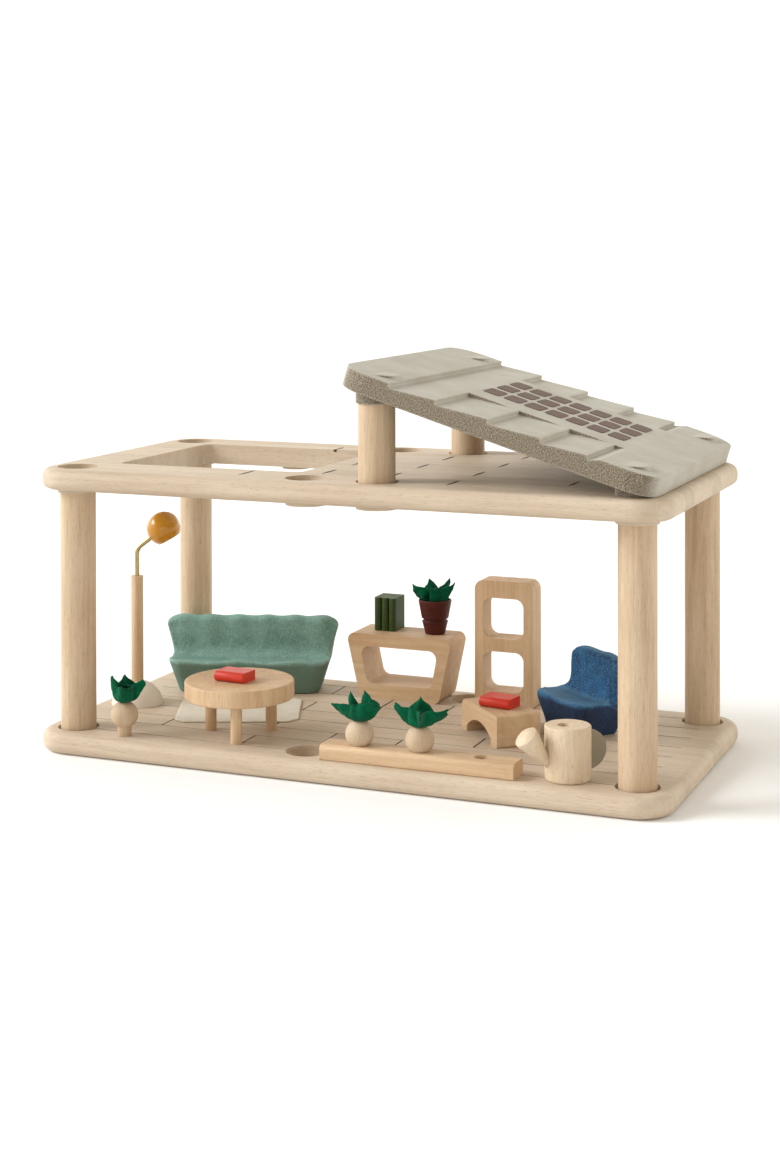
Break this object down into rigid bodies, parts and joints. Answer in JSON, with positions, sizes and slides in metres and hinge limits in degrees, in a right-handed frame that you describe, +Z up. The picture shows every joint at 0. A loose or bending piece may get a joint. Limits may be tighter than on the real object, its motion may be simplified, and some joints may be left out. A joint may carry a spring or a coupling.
{
  "type": "wooden dollhouse",
  "caption": "Open two-storey wooden dollhouse: planked decks on round posts, a pitched solar roof, and loose furniture, lamp, rug, books and felt-leaf plants.",
  "frame": {"origin": "bottom centre of the base deck", "axes": "+X along the long front edge, towards the low end of the roof; +Y to the rear; +Z up"},
  "size_m": [0.55, 0.2755, 0.3347],
  "materials": {
    "deck_wood": "planed light hardwood, fine grain along the planks, clear matt finish",
    "post_wood": "turned light hardwood, grain along the post, clear matt finish",
    "furniture_wood": "light hardwood, sanded, clear matt finish",
    "pale_wood": "pale turned hardwood, sanded smooth",
    "composite_grey": "grey-beige moulded wood-fibre composite, matt",
    "cell_print": "brown printed cells, matt",
    "lamp_white": "off-white stained wood, matt",
    "brass_rod": "drawn brass rod, satin",
    "shade_yellow": "yellow stained wooden ball, gloss lacquer",
    "rug_felt": "thin white felt",
    "sofa_teal": "teal moulded wood-fibre composite, matt and slightly mottled",
    "chair_blue": "blue moulded wood-fibre composite, matt and mottled",
    "book_red": "red lacquered wood, gloss",
    "book_green": "dark green lacquered wood, satin",
    "pot_brown": "brown stained turned wood, satin",
    "leaf_felt": "green felt, thin and soft",
    "handle_grey": "grey moulded wood-fibre composite, matt"
  },
  "bodies": {
    "base": {"base_deck": "deck_wood", "post_front_left": "post_wood", "post_front_right": "post_wood", "post_rear_left": "post_wood", "post_rear_right": "post_wood"},
    "upper": {"upper_deck": "deck_wood", "roof_post_front": "post_wood", "roof_post_rear": "post_wood"},
    "roof": {"roof_panel": "composite_grey", "roof_cells": "cell_print"},
    "lamp": {"lamp_base": "lamp_white", "lamp_pole": "furniture_wood", "lamp_arm": "brass_rod", "lamp_shade": "shade_yellow"},
    "rug": {"rug": "rug_felt"},
    "sofa": {"sofa": "sofa_teal"},
    "round_table": {"table_top": "furniture_wood", "table_leg_1": "furniture_wood", "table_leg_2": "furniture_wood", "table_leg_3": "furniture_wood"},
    "book_a": {"book_on_round_table": "book_red"},
    "side_table": {"side_table": "furniture_wood"},
    "book_b": {"book_on_side_table": "book_red"},
    "console": {"console": "furniture_wood"},
    "green_books": {"green_books": "book_green"},
    "pot": {"flower_pot": "pot_brown", "pot_leaves": "leaf_felt"},
    "bookshelf": {"bookshelf": "furniture_wood"},
    "armchair": {"armchair": "chair_blue"},
    "can": {"can_body": "pale_wood", "can_spout": "pale_wood", "can_handle": "handle_grey"},
    "planter": {"planter": "furniture_wood"},
    "plant_1": {"plant_1": "pale_wood", "plant_1_leaves": "leaf_felt"},
    "plant_2": {"plant_2": "pale_wood", "plant_2_leaves": "leaf_felt"},
    "loose_plant": {"loose_plant": "pale_wood", "loose_plant_leaves": "leaf_felt"}
  },
  "joints": [
    {"name": "upper_lift", "type": "slide", "parent": "base", "child": "upper", "axis": [0, 0, 1], "range_m": [0, 0.06]},
    {"name": "roof_lift", "type": "slide", "parent": "upper", "child": "roof", "axis": [0, 0, 1], "range_m": [0, 0.05]},
    {"name": "lamp_lift", "type": "slide", "parent": "base", "child": "lamp", "axis": [0, 0, 1], "range_m": [0, 0.025]},
    {"name": "rug_lift", "type": "slide", "parent": "base", "child": "rug", "axis": [0, 0, 1], "range_m": [0, 0.02]},
    {"name": "sofa_lift", "type": "slide", "parent": "base", "child": "sofa", "axis": [0, 0, 1], "range_m": [0, 0.06]},
    {"name": "round_table_lift", "type": "slide", "parent": "base", "child": "round_table", "axis": [0, 0, 1], "range_m": [0, 0.06]},
    {"name": "book_a_lift", "type": "slide", "parent": "round_table", "child": "book_a", "axis": [0, 0, 1], "range_m": [0, 0.03]},
    {"name": "side_table_lift", "type": "slide", "parent": "base", "child": "side_table", "axis": [0, 0, 1], "range_m": [0, 0.06]},
    {"name": "book_b_lift", "type": "slide", "parent": "side_table", "child": "book_b", "axis": [0, 0, 1], "range_m": [0, 0.03]},
    {"name": "console_lift", "type": "slide", "parent": "base", "child": "console", "axis": [0, 0, 1], "range_m": [0, 0.05]},
    {"name": "green_books_lift", "type": "slide", "parent": "console", "child": "green_books", "axis": [0, 0, 1], "range_m": [0, 0.03]},
    {"name": "pot_lift", "type": "slide", "parent": "console", "child": "pot", "axis": [0, 0, 1], "range_m": [0, 0.03]},
    {"name": "bookshelf_lift", "type": "slide", "parent": "base", "child": "bookshelf", "axis": [0, 0, 1], "range_m": [0, 0.06]},
    {"name": "armchair_lift", "type": "slide", "parent": "base", "child": "armchair", "axis": [0, 0, 1], "range_m": [0, 0.06]},
    {"name": "can_lift", "type": "slide", "parent": "base", "child": "can", "axis": [0, 0, 1], "range_m": [0, 0.06]},
    {"name": "planter_lift", "type": "slide", "parent": "base", "child": "planter", "axis": [0, 0, 1], "range_m": [0, 0.06]},
    {"name": "plant_1_lift", "type": "slide", "parent": "planter", "child": "plant_1", "axis": [0, 0, 1], "range_m": [0, 0.025]},
    {"name": "plant_2_lift", "type": "slide", "parent": "planter", "child": "plant_2", "axis": [0, 0, 1], "range_m": [0, 0.025]},
    {"name": "loose_plant_lift", "type": "slide", "parent": "base", "child": "loose_plant", "axis": [0, 0, 1], "range_m": [0, 0.06]}
  ]
}
